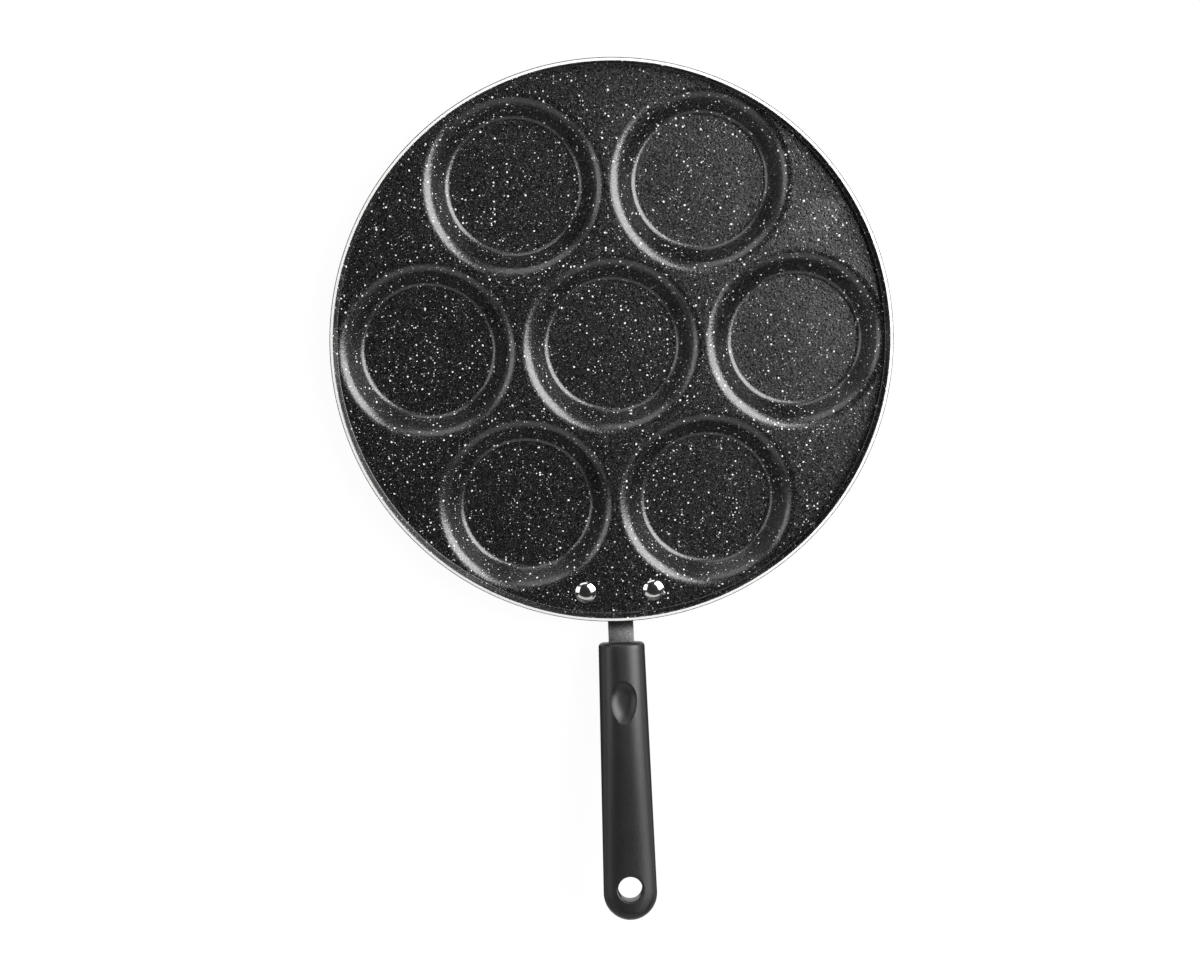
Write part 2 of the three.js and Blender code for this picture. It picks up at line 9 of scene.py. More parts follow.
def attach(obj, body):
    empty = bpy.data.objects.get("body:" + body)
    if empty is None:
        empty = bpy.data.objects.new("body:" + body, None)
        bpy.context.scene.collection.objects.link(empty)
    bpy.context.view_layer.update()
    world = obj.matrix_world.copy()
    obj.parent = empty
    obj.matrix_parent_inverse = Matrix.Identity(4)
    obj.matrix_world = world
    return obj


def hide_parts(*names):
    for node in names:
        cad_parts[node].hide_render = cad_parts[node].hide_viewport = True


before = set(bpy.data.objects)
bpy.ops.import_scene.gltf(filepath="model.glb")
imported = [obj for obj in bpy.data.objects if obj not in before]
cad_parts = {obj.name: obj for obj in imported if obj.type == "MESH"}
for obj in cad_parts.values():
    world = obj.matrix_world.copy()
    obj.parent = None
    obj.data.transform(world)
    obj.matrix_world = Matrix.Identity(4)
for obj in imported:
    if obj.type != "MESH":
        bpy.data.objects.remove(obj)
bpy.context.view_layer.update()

MM = 0.001
BODY = "root"
WELD = MM * 1e-3  # points closer than this become one
QUARTER = math.pi / 2
SIXTH = math.pi / 3
FULL_TURN = 2 * math.pi

# Pressed sheet, with all sizes in millimetres
SHEET = 2.0
DECK_RISE = 7.8
RIM_ANGLE = math.radians(88)
RIM_EDGE = 0.42  # rounds of the trimmed edge, coated on the inside and painted on the outside
FOOT_FILLET = 0.5

# Cups
CUP_DEPTH = 9.5
CUP_FLOOR_RADIUS = 30.4
CUP_WALL_ANGLE = math.radians(49)
CUP_FLOOR_FILLET = 4.0
CUP_MOUTH_FILLET = 8.2
CUP_WEB = 0.8
MOUTH_INTO_FOOT = 1.211
MOUTH_LEAST = 1.0

# Rivets
RIVET_X = 16.82
RIVET_Y = -121.60
RIVET_HEAD_RADIUS = 5.2
RIVET_HEAD_HEIGHT = 1.3
RIVET_CROWN_POWER = 2.8  # the crown is nearly flat and falls off at the edge
RIVET_HEAD_EDGE = 0.28  # straight side of the head, down to the deck
RIVET_SHANK_RADIUS = 2.5
RIVET_TAIL_RADIUS = 4.2
RIVET_TAIL_HEIGHT = 1.8

# Steel bracket
STRAP_THICKNESS = 2.5
STRAP_WIDTH = 12.6
STRAP_BEND = 3.5
STRAP_EDGE = 0.4
EAR_RADIUS = 7.0
NECK_FLARE = 5.0
STRAP_PAST_FOOT = 2.6
STRAP_BEFORE_GRIP = 5.5
TANG_LENGTH = 42.0
BEND_SHARE = 0.9  # most of a short run that a bend may take

# Moulded grip, in its own frame: u along the grip, v across, w up
GRIP_TILT = math.radians(12)
GRIP_LENGTH = 136.48
GRIP_GAP = 11.5
GRIP_FRONT_ABOVE_FLANGE = 7.0
GRIP_FRONT_WIDTH = 22.8
GRIP_END_WIDTH = 26.4
GRIP_FRONT_HEIGHT = 18.0
GRIP_END_HEIGHT = 10.58
GRIP_FRONT_ROUND = 2.2
GRIP_END_ROUND = 4.6
GRIP_SECTION_POWER = 2.5
DIMPLE_FROM_FRONT = 27.4
DIMPLE_WIDTH = 13.0
DIMPLE_NEAR = 8.6
DIMPLE_FAR = 12.3
DIMPLE_DEPTH = 2.6
DIMPLE_POWER = 3.2  # steep at its side and shallow in its middle
HOLE_FROM_END = 15.6
HOLE_RADIUS = 6.0
HOLE_EDGE = 0.9
POCKET_EDGE = 0.3
POCKET_POWER = 8  # a rectangle with small rounds in its corners

# Screw, spring washer and the recess that takes them
SCREW_FROM_FRONT = 27.4
SCREW_RADIUS = 2.5
SCREW_HEAD_RADIUS = 4.6
SCREW_HEAD_HEIGHT = 2.6
SCREW_HEAD_EDGE = 0.9
SCREW_PAST_TANG = 1.0
SCREW_CROSS_WIDTH = 1.1
SCREW_CROSS_LENGTH = 5.0
SCREW_CROSS_DEPTH = 1.4
SCREW_CROSS_EDGE = 0.15
WASHER_RADIUS = 4.4
WASHER_HEIGHT = 1.2
WASHER_EDGE = 0.12
WASHER_SPLIT = math.radians(14)
LEDGE = 2.0
LEDGE_BORE_SHARE = 0.9  # the screw's hole ends just short of the pocket
SEAT = 0.3
SLIP = 0.3
RECESS_ROOM = 0.7
RECESS_EDGE = 0.4

# Camera at the photograph's place, looking nearly straight down
CAMERA_SENSOR = 36
CAMERA_LENS = 49.525
CAMERA_PLACE = (-18.172, 67.83, 808.643)
CAMERA_TURN = (-9.784, -1.047, -1.859)  # degrees about X, Y and Z


# Work by hand: selecting, drawing and finishing

def mm(x, y, z):
    return Vector((x, y, z)) * MM


def spaced(start, end, count):
    """Evenly spaced values from start to end, with both among them."""
    return [start + (end - start) * i / count for i in range(count + 1)]


def only(piece):
    bpy.ops.object.select_all(action="DESELECT")
    piece.select_set(True)
    bpy.context.view_layer.objects.active = piece


def edit(piece):
    only(piece)
    bpy.ops.object.mode_set(mode="EDIT")


def pick(piece, kind, wanted):
    """In edit mode, selects only the verts, edges or faces that are wanted."""
    bpy.ops.mesh.select_mode(type={"verts": "VERT", "edges": "EDGE", "faces": "FACE"}[kind])
    bpy.ops.mesh.select_all(action="DESELECT")
    mesh = bmesh.from_edit_mesh(piece.data)
    for element in getattr(mesh, kind):
        if wanted(element):
            element.select_set(True)
    bmesh.update_edit_mesh(piece.data)


def draw_line(name, points):
    """Extrudes one corner of a plane from point to point, and stays in edit mode."""
    bpy.ops.object.select_all(action="DESELECT")
    bpy.ops.mesh.primitive_plane_add(size=MM)
    line = bpy.context.object
    line.name = line.data.name = name
    bpy.ops.object.mode_set(mode="EDIT")
    pick(line, "verts", lambda vert: vert.index > 0)
    bpy.ops.mesh.delete(type="VERT")
    bpy.ops.mesh.select_all(action="SELECT")
    corner = next(iter(bmesh.from_edit_mesh(line.data).verts)).co.copy()
    bpy.ops.transform.translate(value=points[0] - corner)
    for here, there in zip(points, points[1:]):
        bpy.ops.mesh.extrude_region_move(TRANSFORM_OT_translate={"value": there - here})
    return line


def close_up():
    """In edit mode, merges doubles and turns all faces outwards."""
    bpy.ops.mesh.select_all(action="SELECT")
    bpy.ops.mesh.remove_doubles(threshold=WELD)
    bpy.ops.mesh.normals_make_consistent(inside=False)


def turn(name, profile, steps, sweep=FULL_TURN):
    """Spins a line of (radius, height) pairs about the upright axis."""
    piece = draw_line(name, [mm(radius, 0, height) for radius, height in profile])
    bpy.ops.mesh.select_all(action="SELECT")
    bpy.ops.mesh.spin(steps=steps, angle=sweep, center=(0, 0, 0), axis=(0, 0, 1))
    close_up()
    bpy.ops.object.mode_set(mode="OBJECT")
    return piece


def modify(piece, kind, **settings):
    only(piece)
    modifier = piece.modifiers.new(kind.title(), kind)
    for name, value in settings.items():
        setattr(modifier, name, value)
    bpy.ops.object.modifier_apply(modifier=modifier.name)


def soften_edges(piece, width, segments):
    """Rounds the edges where two faces meet sharply."""
    modify(
        piece, "BEVEL", width=width * MM, segments=segments,
        limit_method="ANGLE", angle_limit=math.radians(50),
    )


def place(piece, matrix):
    """Puts a piece where it belongs, with its place in its mesh."""
    only(piece)
    piece.matrix_world = matrix
    bpy.ops.object.transform_apply(location=True, rotation=True, scale=True)


def hand_over(piece, node, slot, *finishes, smooth=30):
    """Gives a finished piece its materials and smooth shading, fixes it to the body and hides the CAD
    node that it stands for. The slot is not used.
    """
    only(piece)
    for finish in finishes:
        piece.data.materials.append(finish)
    bpy.ops.object.shade_smooth_by_angle(angle=math.radians(smooth))
    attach(piece, BODY)
    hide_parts(node)


# Finishes

def linear(code):
    """An sRGB hex colour as linear RGBA."""
    channels = [int(code[i:i + 2], 16) / 255 for i in (1, 3, 5)]
    return [c / 12.92 if c <= 0.04045 else ((c + 0.055) / 1.055) ** 2.4 for c in channels] + [1]


def add(tree, kind, links=(), values=(), **settings):
    """Adds a node with its settings, socket values and links."""
    node = tree.nodes.new("ShaderNode" + kind)
    for name, value in settings.items():
        setattr(node, name, value)
    for socket, value in values:
        node.inputs[socket].default_value = value
    for socket, source in links:
        tree.links.new(source, node.inputs[socket])
    return node


def new_finish(name):
    """An empty material with coordinates in millimetres."""
    finish = bpy.data.materials.new(name)
    finish.use_nodes = True
    tree = finish.node_tree
    tree.nodes.clear()
    coordinates = add(tree, "TexCoord")
    scale = [1 / MM] * 3
    place_mm = add(tree, "Mapping", [("Vector", coordinates.outputs["Object"])], [("Scale", scale)])
    return finish, tree, place_mm.outputs["Vector"]


# PTFE coating with a stone look, sprayed and cured on the pressed sheet: near black and satin,
# with a glitter where the gloss changes from speck to speck, and pale flakes strewn at random
COAT_SPECK = 0.47  # drawn coarser than the real grain, so that it shows
COAT_SPECK_COLOURS = [(0.8, "#010102"), (1.0, "#343435")]
COAT_ROUGH = (0.16, 0.37)
COAT_SWELL = 1.111  # width of the low swells that spraying leaves
COAT_SWELL_HEIGHT = 0.12
FLAKE_NOTCH = 0.769  # width of the notches in a flake's outline
FLAKE_NOTCH_PUSH = 0.5
FLAKE_LEAST = 0.55  # the smallest flake's share of the largest one's radius
FLAKE_SOFT = 0.04  # share of a cell over which a flake's edge fades
FLAKES = [
    # cell, share of cells with a flake, largest radius, colour
    (0.62, 0.17, 0.21, "#8C8C8D"),
    (0.95, 0.088, 0.31, "#E6E6E4"),
    (1.7, 0.115, 0.5, "#FFFFFD"),
]


def coating():
    finish, tree, place_mm = new_finish("Sprayed PTFE stone-look coating")
    notches = add(
        tree, "TexNoise", [("Vector", place_mm)], [("Scale", 1 / FLAKE_NOTCH), ("Detail", 1.0)],
    )
    centred = add(
        tree, "VectorMath", [(0, notches.outputs["Color"])], [(1, (0.5,) * 3)],
        operation="SUBTRACT",
    )
    pushed = add(
        tree, "VectorMath", [(0, centred.outputs[0]), (2, place_mm)],
        [(1, (FLAKE_NOTCH_PUSH,) * 3)], operation="MULTIPLY_ADD",
    )
    specks = add(
        tree, "TexVoronoi", [("Vector", pushed.outputs[0])], [("Scale", 1 / COAT_SPECK)],
    )
    speck = add(tree, "SeparateColor", [("Color", specks.outputs["Color"])])
    colour = add(tree, "ValToRGB", [("Fac", speck.outputs["Blue"])])
    for stop, (at, tint) in zip(colour.color_ramp.elements, COAT_SPECK_COLOURS):
        stop.position = at
        stop.color = linear(tint)
    shade = colour.outputs["Color"]
    for cell, share, radius, tint in FLAKES:
        cells = add(tree, "TexVoronoi", [("Vector", pushed.outputs[0])], [("Scale", 1 / cell)])
        chance = add(tree, "SeparateColor", [("Color", cells.outputs["Color"])])
        chosen = add(
            tree, "Math", [(0, chance.outputs["Red"])], [(1, share)], operation="LESS_THAN",
        )
        reach = add(
            tree, "MapRange", [("Value", chance.outputs["Green"])],
            [("To Min", FLAKE_LEAST * radius / cell), ("To Max", radius / cell)],
        )
        spread = add(
            tree, "Math", [(0, reach.outputs["Result"]), (1, cells.outputs["Distance"])],
            operation="SUBTRACT",
        )
        spot = add(
            tree, "MapRange", [("Value", spread.outputs[0])],
            [("From Min", -FLAKE_SOFT), ("From Max", FLAKE_SOFT)],
        )
        flake = add(
            tree, "Math", [(0, spot.outputs["Result"]), (1, chosen.outputs[0])],
            operation="MULTIPLY",
        )
        mixed = add(
            tree, "Mix", [(0, flake.outputs[0]), (6, shade)], [(7, linear(tint))],
            data_type="RGBA",
        )
        shade = mixed.outputs[2]
    rough = add(
        tree, "MapRange", [("Value", speck.outputs["Green"])],
        [("To Min", COAT_ROUGH[0]), ("To Max", COAT_ROUGH[1])],
    )
    swells = add(
        tree, "TexNoise", [("Vector", place_mm)],
        [("Scale", 1 / COAT_SWELL), ("Detail", 1.0), ("Roughness", 0.6)],
    )
    bump = add(
        tree, "Bump", [("Height", swells.outputs["Fac"])],
        [("Strength", 0.7), ("Distance", COAT_SWELL_HEIGHT * MM)],
    )
    shader = add(
        tree, "BsdfPrincipled",
        [
            ("Base Color", shade),
            ("Roughness", rough.outputs["Result"]),
            ("Normal", bump.outputs["Normal"]),
        ],
        [("IOR", 1.85)],
    )
    add(tree, "OutputMaterial", [("Surface", shader.outputs["BSDF"])])
    return finish


# Enamel paint, baked on the outside: dark grey and satin, with faint clouds and orange peel
PAINT_COLOURS = [(0.3, "#232324"), (0.7, "#2D2D2E")]
PAINT_ROUGH = (0.38, 0.5)
PAINT_CLOUD = 20
PAINT_PEEL = 1.43
PAINT_PEEL_HEIGHT = 0.05


def outside_paint():
    finish, tree, place_mm = new_finish("Baked enamel paint")
    peel = add(tree, "TexNoise", [("Vector", place_mm)], [("Scale", 1 / PAINT_PEEL), ("Detail", 2.0)])
    cloud = add(tree, "TexNoise", [("Vector", place_mm)], [("Scale", 1 / PAINT_CLOUD), ("Detail", 3.0)])
    colour = add(tree, "ValToRGB", [("Fac", cloud.outputs["Fac"])])
    for stop, (at, tint) in zip(colour.color_ramp.elements, PAINT_COLOURS):
        stop.position = at
        stop.color = linear(tint)
    rough = add(
        tree, "MapRange", [("Value", peel.outputs["Fac"])],
        [("To Min", PAINT_ROUGH[0]), ("To Max", PAINT_ROUGH[1])],
    )
    bump = add(
        tree, "Bump", [("Height", peel.outputs["Fac"])],
        [("Strength", 0.3), ("Distance", PAINT_PEEL_HEIGHT * MM)],
    )
    shader = add(
        tree, "BsdfPrincipled",
        [
            ("Base Color", colour.outputs["Color"]),
            ("Roughness", rough.outputs["Result"]),
            ("Normal", bump.outputs["Normal"]),
        ],
    )
    add(tree, "OutputMaterial", [("Surface", shader.outputs["BSDF"])])
    return finish


# Metals: a tint that varies a little over the surface, and a gloss that follows the same marks
METAL_TINT_FROM = 0.35
METAL_TINT_TO = 0.65


def metal(name, dark, light, marks_mm, rough, relief_mm, metallic=1.0):
    """The marks of real metal are finer, and are drawn at a size that shows."""
    finish, tree, place_mm = new_finish(name)
    marks = add(
        tree, "TexNoise", [("Vector", place_mm)],
        [("Scale", 1 / marks_mm), ("Detail", 3.0), ("Roughness", 0.6)],
    )
    colour = add(tree, "ValToRGB", [("Fac", marks.outputs["Fac"])])
    stops = [(METAL_TINT_FROM, dark), (METAL_TINT_TO, light)]
    for stop, (at, tint) in zip(colour.color_ramp.elements, stops):
        stop.position = at
        stop.color = linear(tint)
    gloss = add(
        tree, "MapRange", [("Value", marks.outputs["Fac"])],
        [("To Min", rough[0]), ("To Max", rough[1])],
    )
    bump = add(
        tree, "Bump", [("Height", marks.outputs["Fac"])],
        [("Strength", 0.3), ("Distance", relief_mm * MM)],
    )
    shader = add(
        tree, "BsdfPrincipled",
        [
            ("Base Color", colour.outputs["Color"]),
            ("Roughness", gloss.outputs["Result"]),
            ("Normal", bump.outputs["Normal"]),
        ],
        [("Metallic", metallic)],
    )
    add(tree, "OutputMaterial", [("Surface", shader.outputs["BSDF"])])
    return finish


# Phenolic resin, moulded: near black and satin with the fine matt grain of its mould, and dull on
# the sides, where the seam of the mould is rubbed down
GRIP_COLOURS = [(0.3, "#0E0E0F"), (0.7, "#151516")]
GRIP_ROUGH = (0.3, 0.48)
GRIP_CLOUD = 12.5
GRIP_GRAIN = 0.909  # drawn coarser than the real grain, so that it shows
GRIP_GRAIN_HEIGHT = 0.08
SEAM_FROM = 0.65  # how far a face turns sideways where the rubbing starts and is full
SEAM_TO = 0.92
SEAM_ROUGHER = 0.45
SEAM_SPECULAR = (0.5, 0.1)


def phenolic():
    finish, tree, place_mm = new_finish("Moulded phenolic resin")
    grain = add(tree, "TexNoise", [("Vector", place_mm)], [("Scale", 1 / GRIP_GRAIN), ("Detail", 2.0)])
    cloud = add(tree, "TexNoise", [("Vector", place_mm)], [("Scale", 1 / GRIP_CLOUD), ("Detail", 2.0)])
    colour = add(tree, "ValToRGB", [("Fac", cloud.outputs["Fac"])])
    for stop, (at, tint) in zip(colour.color_ramp.elements, GRIP_COLOURS):
        stop.position = at
        stop.color = linear(tint)
    satin = add(
        tree, "MapRange", [("Value", grain.outputs["Fac"])],
        [("To Min", GRIP_ROUGH[0]), ("To Max", GRIP_ROUGH[1])],
    )
    facing = add(tree, "NewGeometry")
    across = add(tree, "SeparateXYZ", [("Vector", facing.outputs["Normal"])])
    sideways = add(tree, "Math", [(0, across.outputs["X"])], operation="ABSOLUTE")
    rubbed = add(
        tree, "MapRange", [("Value", sideways.outputs[0])],
        [("From Min", SEAM_FROM), ("From Max", SEAM_TO), ("To Min", 0.0), ("To Max", SEAM_ROUGHER)],
    )
    rough = add(
        tree, "Math", [(0, satin.outputs["Result"]), (1, rubbed.outputs["Result"])], operation="ADD",
    )
    shine = add(
        tree, "MapRange", [("Value", sideways.outputs[0])],
        [
            ("From Min", SEAM_FROM), ("From Max", SEAM_TO),
            ("To Min", SEAM_SPECULAR[0]), ("To Max", SEAM_SPECULAR[1]),
        ],
    )
    bump = add(
        tree, "Bump", [("Height", grain.outputs["Fac"])],
        [("Strength", 0.5), ("Distance", GRIP_GRAIN_HEIGHT * MM)],
    )
    shader = add(
        tree, "BsdfPrincipled",
        [
            ("Base Color", colour.outputs["Color"]),
            ("Roughness", rough.outputs[0]),
            ("Specular IOR Level", shine.outputs["Result"]),
            ("Normal", bump.outputs["Normal"]),
        ],
        [("IOR", 1.6)],
    )
    add(tree, "OutputMaterial", [("Surface", shader.outputs["BSDF"])])
    return finish


stone_coat = coating()
paint = outside_paint()
moulding = phenolic()

# Aluminium as the trimming tool leaves it: bright, whitish and without a mirror image
bare_edge = metal(
    "Trimmed aluminium", "#EEEEEC", "#FAFAF8",
    marks_mm=0.6, rough=(0.5, 0.62), relief_mm=0.02, metallic=0.5,
)
# Stainless steel, polished: it mirrors the lamps as clear white arcs
rivet_polish = metal(
    "Polished stainless steel", "#E8E8E6", "#F6F6F4",
    marks_mm=1.2, rough=(0.09, 0.16), relief_mm=0.01,
)
# Mild steel, pressed and plated: mid grey, with blotches and a broad dull sheen
strap_plate = metal(
    "Dull plated steel", "#4C4C4C", "#828281",
    marks_mm=0.6, rough=(0.42, 0.58), relief_mm=0.03,
)
# Screw steel, zinc plated: pale grey and satin
zinc = metal(
    "Zinc plated steel", "#A9ABA8", "#C6C7C2",
    marks_mm=0.8, rough=(0.26, 0.38), relief_mm=0.02,
)


# Dish: its height is worked out point by point, because the six outer mouths melt into the foot of
# the outer wall. The sheet's thickness and its trimmed edge are then worked by hand.
floor_fillet_run = CUP_FLOOR_FILLET * math.sin(CUP_WALL_ANGLE)
mouth_fillet_run = CUP_MOUTH_FILLET * math.sin(CUP_WALL_ANGLE)
fillet_drop = (CUP_FLOOR_FILLET + CUP_MOUTH_FILLET) * (1 - math.cos(CUP_WALL_ANGLE))
cup_wall_foot = CUP_FLOOR_RADIUS + floor_fillet_run
cup_wall_top = cup_wall_foot + (CUP_DEPTH - fillet_drop) / math.tan(CUP_WALL_ANGLE)
mouth_radius = cup_wall_top + mouth_fillet_run
pitch = 2 * mouth_radius + CUP_WEB
deck_top = SHEET + CUP_DEPTH
foot_radius = pitch + mouth_radius - MOUTH_INTO_FOOT
foot_run = FOOT_FILLET * math.sin(RIM_ANGLE)
foot_rise = FOOT_FILLET * (1 - math.cos(RIM_ANGLE))
rim_inside = foot_radius + foot_run + (DECK_RISE - foot_rise) / math.tan(RIM_ANGLE)
rim_radius = rim_inside + SHEET * math.sin(RIM_ANGLE)
middle = Vector((0, 0))
cup_turns = [SIXTH * i for i in range(6)]
outer_centres = [Vector((pitch * math.cos(angle), pitch * math.sin(angle))) for angle in cup_turns]
cup_centres = outer_centres + [middle]


def arc_rise(radius, run):
    return radius - math.sqrt(radius * radius - run * run)


def cup_drop(radius):
    if radius <= CUP_FLOOR_RADIUS:
        return CUP_DEPTH
    if radius <= cup_wall_foot:
        return CUP_DEPTH - arc_rise(CUP_FLOOR_FILLET, radius - CUP_FLOOR_RADIUS)
    if radius <= cup_wall_top:
        below_mouth = (cup_wall_top - radius) * math.tan(CUP_WALL_ANGLE)
        return arc_rise(CUP_MOUTH_FILLET, mouth_fillet_run) + below_mouth
    if radius < mouth_radius:
        return arc_rise(CUP_MOUTH_FILLET, mouth_radius - radius)
    return 0


def wall_rise(radius):
    run = radius - foot_radius
    if run <= 0:
        return 0
    if run <= foot_run:
        return arc_rise(FOOT_FILLET, run)
    return foot_rise + (run - foot_run) * math.tan(RIM_ANGLE)


def dish_point(plan):
    to_cup = min((plan - centre).length for centre in cup_centres)
    return mm(plan.x, plan.y, deck_top - cup_drop(to_cup) + wall_rise(plan.length))


# Rays from each cup's centre, as far as the middle between two cups or the foot of the wall
RIM_STEPS = 56
SIDE_STEPS = 32
EDGE_STEPS = 24
CORNER_ROOM = 1e-6
half_side = SIXTH / 2
side_end = math.pi - half_side
foot_corner = math.atan2(
    foot_radius * math.sin(half_side), foot_radius * math.cos(half_side) - pitch
)
outer_angles = (
    spaced(-foot_corner, foot_corner, RIM_STEPS)[:-1]
    + spaced(foot_corner, side_end, SIDE_STEPS)[:-1]
    + spaced(side_end, FULL_TURN - side_end, EDGE_STEPS)[:-1]
    + spaced(FULL_TURN - side_end, FULL_TURN - foot_corner, SIDE_STEPS)[:-1]
)
middle_angles = spaced(-half_side, FULL_TURN - half_side, 6 * EDGE_STEPS)[:-1]


def reach_of_middle(angle):
    from_neighbour = angle - round(angle / SIXTH) * SIXTH
    return pitch / 2 / math.cos(from_neighbour)


def reach_of_outer(angle):
    turned = abs(math.atan2(math.sin(angle), math.cos(angle)))
    if turned <= foot_corner + CORNER_ROOM:
        along = math.sqrt(foot_radius ** 2 - (pitch * math.sin(turned)) ** 2)
        return along - pitch * math.cos(turned)
    neighbour = 2 * SIXTH if turned <= side_end else math.pi
    return pitch / 2 / math.cos(turned - neighbour)


FLOOR_RINGS = 4
FILLET_RINGS = 8
WALL_RINGS = 3
MOUTH_RINGS = 12
MOUTH_SHARE = 0.9
FOOT_RINGS = 8
RIM_RINGS = 4
foot_slopes = spaced(0, RIM_ANGLE, FOOT_RINGS)[1:]
foot_radii = [foot_radius + FOOT_FILLET * math.sin(slope) for slope in foot_slopes]
wall_radii = foot_radii + spaced(foot_radius + foot_run, rim_inside, RIM_RINGS)[1:]


def ray_stations(reach):
    wall_top = min(cup_wall_top, reach - MOUTH_LEAST)
    mouth_end = min(mouth_radius, wall_top + (reach - wall_top) * MOUTH_SHARE)
    return (
        spaced(0, CUP_FLOOR_RADIUS, FLOOR_RINGS)[1:]
        + spaced(CUP_FLOOR_RADIUS, cup_wall_foot, FILLET_RINGS)[1:]
        + spaced(cup_wall_foot, wall_top, WALL_RINGS)[1:]
        + spaced(wall_top, mouth_end, MOUTH_RINGS)[1:]
        + [reach]
    )


def dish_sheet():
    points, faces = [], []

    def ring(plans):
        points.extend(dish_point(plan) for plan in plans)
        return list(range(len(points) - len(plans), len(points)))

    def join(inner, outer, closed):
        count = len(inner)
        for i in range(count if closed else count - 1):
            j = (i + 1) % count
            faces.append((inner[i], outer[i], outer[j], inner[j]))

    def cup(centre, start, angles, reach_of):
        """Makes one cup and gives its rays and its outermost ring."""
        rays = []
        for angle in angles:
            along = Vector((math.cos(angle + start), math.sin(angle + start)))
            rays.append([centre + along * distance for distance in ray_stations(reach_of(angle))])
        rings = [ring(plans) for plans in zip(*rays)]
        pole = ring([centre])[0]
        count = len(angles)
        faces.extend((pole, rings[0][i], rings[0][(i + 1) % count]) for i in range(count))
        for inner, outer in zip(rings, rings[1:]):
            join(inner, outer, True)
        return rays, rings[-1]

    for centre, start in zip(outer_centres, cup_turns):
        rays, mouth = cup(centre, start, outer_angles, reach_of_outer)
        foot = [ray[-1] for ray in rays[:RIM_STEPS + 1]]
        band = mouth[:RIM_STEPS + 1]
        for radius in wall_radii:
            above = ring([plan.normalized() * radius for plan in foot])
            join(band, above, False)
            band = above
    cup(middle, 0, middle_angles, reach_of_middle)

    mesh = bpy.data.meshes.new("pan_dish")
    mesh.from_pydata(points, [], faces)
    dish = bpy.data.objects.new("pan_dish", mesh)
    bpy.context.collection.objects.link(dish)
    edit(dish)
    bpy.ops.mesh.select_all(action="SELECT")
    bpy.ops.mesh.remove_doubles(threshold=WELD)
    bpy.ops.object.mode_set(mode="OBJECT")
    return dish


COATED, PAINTED, TRIMMED = 0, 1, 2
RIM_EDGE_STEPS = 4

pan_dish = dish_sheet()
for finish in (stone_coat, paint, bare_edge):
    pan_dish.data.materials.append(finish)
modify(
    pan_dish, "SOLIDIFY", thickness=SHEET * MM, offset=-1, use_even_offset=True,
    material_offset=PAINTED, material_offset_rim=TRIMMED,
)
edit(pan_dish)
for side in (COATED, PAINTED):
    wanted = {side, TRIMMED}
    pick(pan_dish, "edges", lambda edge: {face.material_index for face in edge.link_faces} == wanted)
    bpy.ops.mesh.bevel(offset=RIM_EDGE * MM, segments=RIM_EDGE_STEPS, affect="EDGES", material=side)
bpy.ops.object.mode_set(mode="OBJECT")
hand_over(pan_dish, "pan_body", "pan_coating", smooth=35)


# Rivets: domed head on the deck, shank through sheet and flange, upset tail below
flange_top = deck_top - SHEET - SEAT
flange_middle = flange_top - STRAP_THICKNESS / 2
flange_bottom = flange_top - STRAP_THICKNESS
DOME_STEPS = 18
TAIL_STEPS = 6
RIVET_STEPS = 72


def rivet_profile():
    head_base = deck_top + SEAT
    head_rest = head_base - RIVET_HEAD_EDGE
    tail_top = flange_bottom - SEAT
    tail_round = RIVET_TAIL_HEIGHT / 2
    tail_middle = tail_top - tail_round
    tail = [(0, tail_top - RIVET_TAIL_HEIGHT)]
    for turned in spaced(0, QUARTER, TAIL_STEPS):
        radius = RIVET_TAIL_RADIUS - tail_round * (1 - math.sin(turned))
        tail.append((radius, tail_middle - tail_round * math.cos(turned)))
    tail.append((RIVET_TAIL_RADIUS, tail_top))
    shank = [(RIVET_SHANK_RADIUS, tail_top), (RIVET_SHANK_RADIUS, head_rest)]
    head = [(RIVET_HEAD_RADIUS, head_rest)]
    for share in spaced(1, 0, DOME_STEPS):
        crown = RIVET_HEAD_HEIGHT * (1 - share ** RIVET_CROWN_POWER)
        head.append((RIVET_HEAD_RADIUS * share, head_base + crown))
    return tail + shank + head


rivet_right = turn("rivet_right_head", rivet_profile(), RIVET_STEPS)
rivet_left = rivet_right.copy()
rivet_left.data = rivet_right.data.copy()
rivet_left.name = "rivet_left_head"
bpy.context.collection.objects.link(rivet_left)
place(rivet_right, Matrix.Translation(mm(RIVET_X, RIVET_Y, 0)))
place(rivet_left, Matrix.Translation(mm(-RIVET_X, RIVET_Y, 0)))
hand_over(rivet_right, "rivet_right", "rivet_metal", rivet_polish)
hand_over(rivet_left, "rivet_left", "rivet_metal", rivet_polish)


# Grip's place: its front face stands off the rim, and its middle line climbs away from the pan
grip_front_y = -(rim_radius + GRIP_GAP)
grip_front_z = flange_middle + GRIP_FRONT_ABOVE_FLANGE
tilt_cos, tilt_sin = math.cos(GRIP_TILT), math.sin(GRIP_TILT)
grip_place = Matrix((
    (0, 1, 0, 0),
    (-tilt_cos, 0, tilt_sin, grip_front_y * MM),
    (tilt_sin, 0, tilt_cos, grip_front_z * MM),
    (0, 0, 0, 1),
))


def on_grip_line(u):
    return Vector((grip_front_y - u * tilt_cos, grip_front_z + u * tilt_sin))


# Bracket: the flange's outline is drawn and filled, and its neck edge pulled out along the strap
BEND_STEPS = 10
EAR_STEPS = 24
STRAP_EDGE_STEPS = 3
ON_NECK = MM * 1e-4
flange_outside = RIVET_Y - EAR_RADIUS
neck_y = flange_outside - STRAP_PAST_FOOT


def bend(start, corner, end):
    """Points of a smooth bend from start to end, inside a corner."""
    shares = spaced(0, 1, BEND_STEPS)
    return [start * (1 - t) ** 2 + corner * (2 * t * (1 - t)) + end * t ** 2 for t in shares]


